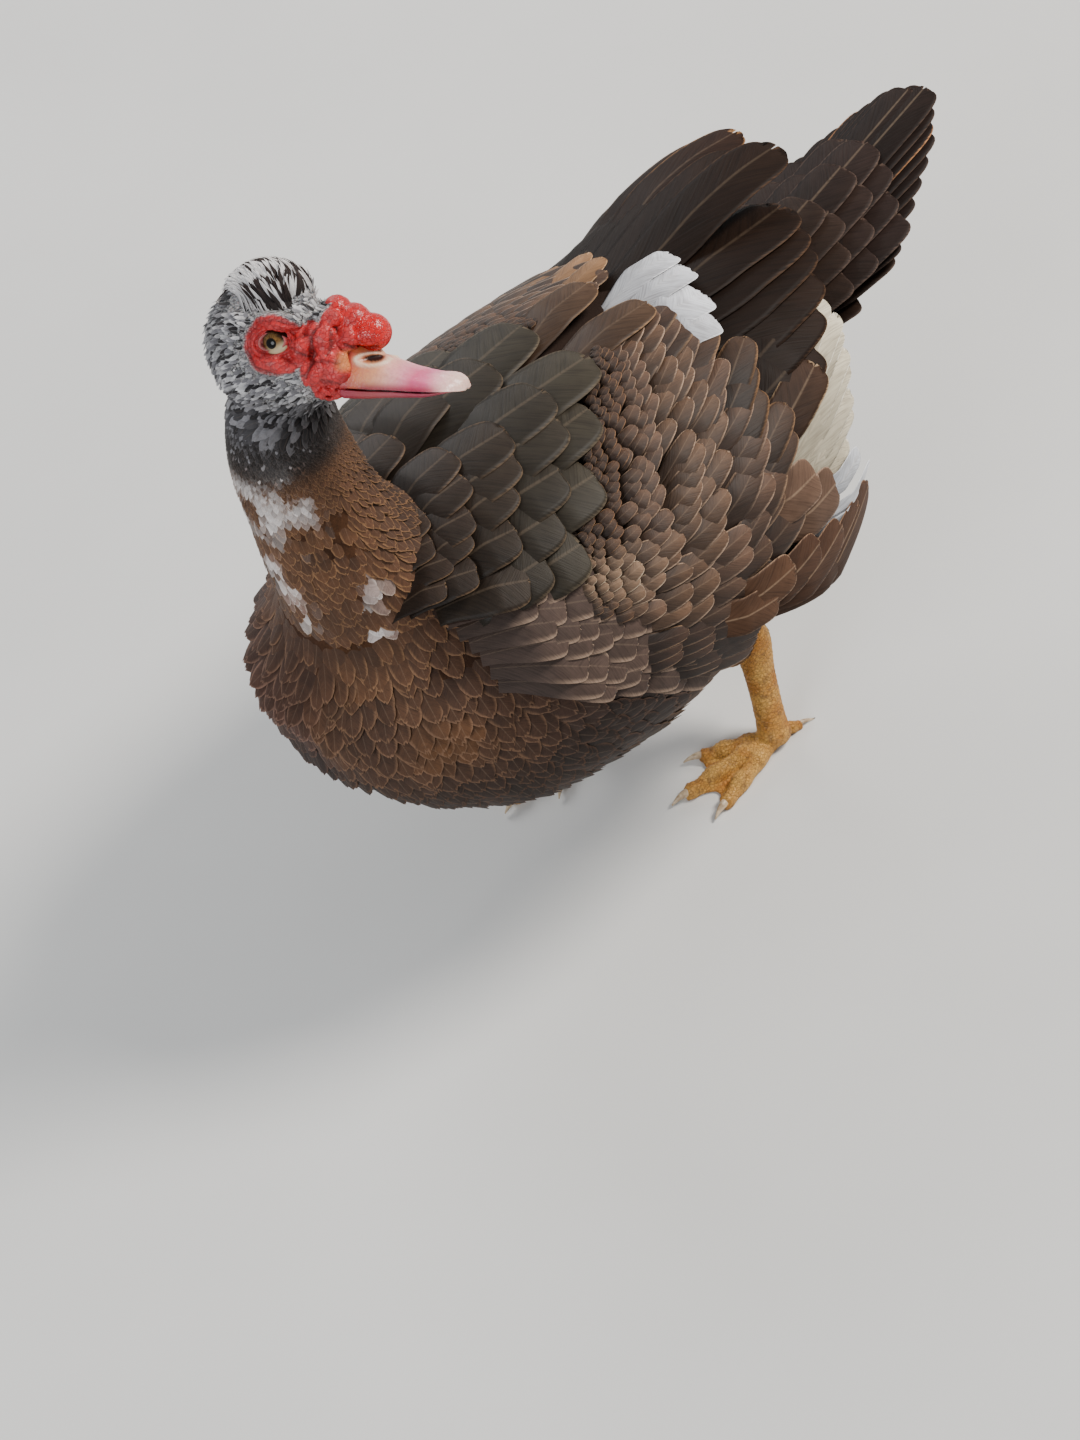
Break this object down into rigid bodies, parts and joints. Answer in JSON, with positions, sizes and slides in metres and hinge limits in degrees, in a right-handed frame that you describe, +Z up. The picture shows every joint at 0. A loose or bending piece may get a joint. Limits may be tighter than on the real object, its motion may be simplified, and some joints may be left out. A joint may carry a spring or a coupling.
{
  "type": "muscovy duck",
  "caption": "Muscovy duck at life size, standing with its head turned over its left shoulder, wings folded, tail fanned level, red wrinkled face and webbed feet",
  "frame": {"origin": "middle of the bird's bounding box, on the floor that its soles stand on", "axes": "+Z up, the breast faces -Y, the tail points to +Y and the bird's left side is +X"},
  "size_m": [0.2586, 0.5082, 0.4342],
  "materials": {
    "plumage": "chocolate feathers with a soft sheen",
    "head_plumage": "white and dark peppered down, with bare crimson skin on the face",
    "bill": "satin horn, red at the base and pink towards a pale nail",
    "eye": "wet, pale tan iris and black pupil",
    "leg": "scaly orange-yellow skin"
  },
  "bodies": {
    "root": {"torso": "plumage", "neck": "plumage", "head": "head_plumage", "bill_upper": "bill", "bill_lower": "bill", "eye_left": "eye", "eye_right": "eye", "wing_left": "plumage", "wing_right": "plumage", "tail": "plumage", "thigh_left": "plumage", "thigh_right": "plumage", "shank_left": "leg", "shank_right": "leg", "foot_left": "leg", "foot_right": "leg"}
  },
  "joints": []
}
